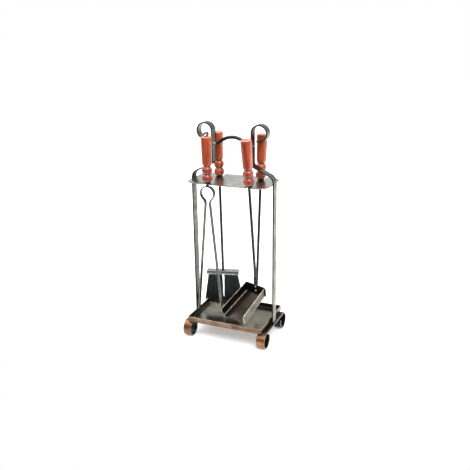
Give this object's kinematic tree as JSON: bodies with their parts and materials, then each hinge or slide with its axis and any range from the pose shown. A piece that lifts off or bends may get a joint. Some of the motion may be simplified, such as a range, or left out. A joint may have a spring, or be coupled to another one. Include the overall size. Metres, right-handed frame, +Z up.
{
  "type": "fireplace tool set",
  "caption": "Standing fireplace tool set: a bent flat-bar stand with drip tray and carry handle, holding hanging tongs, brush, shovel and poker with turned wooden handles.",
  "frame": {"origin": "on the floor under the middle of the whole set's bounding box", "axes": "+Z up along the uprights, -Y towards the front with the tongs and the shovel, +X to the right seen from the front"},
  "size_m": [0.2596, 0.2391, 0.636],
  "materials": {
    "pewter_strip": "antique pewter, burnished edges, satin",
    "copper_finish": "antique copper over dark lacquer, semi-gloss",
    "bronze_sheet": "dark bronze lacquer, semi-gloss",
    "black_bar": "black enamel, satin",
    "bright_fixings": "bright zinc, satin",
    "turned_wood": "orange-brown stain, gloss lacquer",
    "brush_core": "dark stain, matt",
    "bristles": "stiff black bristle, matt"
  },
  "bodies": {
    "stand": {"tray": "copper_finish", "foot_bar_left": "pewter_strip", "foot_bar_right": "pewter_strip", "upright_left": "pewter_strip", "upright_right": "pewter_strip", "shelf_plate": "pewter_strip", "carry_handle": "black_bar", "carry_nuts": "bright_fixings", "tray_rivets": "bright_fixings"},
    "tongs": {"tongs_handle": "turned_wood", "tongs_ferrule": "black_bar", "tongs_stem": "black_bar", "tongs_hook": "bright_fixings"},
    "tongs_left_arm": {"tongs_arm_left": "pewter_strip"},
    "tongs_right_arm": {"tongs_arm_right": "pewter_strip"},
    "brush": {"brush_handle": "turned_wood", "brush_ferrule": "black_bar", "brush_shaft": "black_bar", "brush_channel": "pewter_strip", "brush_block": "brush_core", "brush_tuft_left": "bristles", "brush_tuft_right": "bristles"},
    "shovel": {"shovel_handle": "turned_wood", "shovel_ferrule": "black_bar", "shovel_shaft": "black_bar", "shovel_pan": "bronze_sheet", "shovel_rivets": "bright_fixings"},
    "poker": {"poker_handle": "turned_wood", "poker_ferrule": "black_bar", "poker_shaft": "black_bar", "poker_hook": "black_bar"}
  },
  "joints": [
    {"name": "tongs_lift", "type": "slide", "parent": "stand", "child": "tongs", "axis": [0, -0.9806, 0.1961], "range_m": [0, 0.12]},
    {"name": "tongs_squeeze", "type": "hinge", "parent": "tongs", "child": "tongs_right_arm", "pos_m": [-0.055, -0.03457, 0.4639], "axis": [0, 1, 0], "range_deg": [0, 5.2], "stiffness_Nm_per_rad": 12, "springref_deg": -0.57},
    {"name": "tongs_squeeze_left", "type": "hinge", "parent": "tongs", "child": "tongs_left_arm", "pos_m": [-0.055, -0.03457, 0.4639], "axis": [0, -1, 0], "range_deg": [0, 5.2], "stiffness_Nm_per_rad": 12, "springref_deg": -0.57},
    {"name": "brush_lift", "type": "slide", "parent": "stand", "child": "brush", "axis": [-0.012, 0.7071, 0.7071], "range_m": [0, 0.12]},
    {"name": "shovel_lift", "type": "slide", "parent": "stand", "child": "shovel", "axis": [-0.0222, -0.7069, 0.7069], "range_m": [0, 0.12]},
    {"name": "poker_lift", "type": "slide", "parent": "stand", "child": "poker", "axis": [0.0271, 0.7068, 0.7068], "range_m": [0, 0.12]}
  ],
  "couplings": [
    {"joint": "tongs_squeeze_left", "follows": "tongs_squeeze", "ratio": 1}
  ]
}
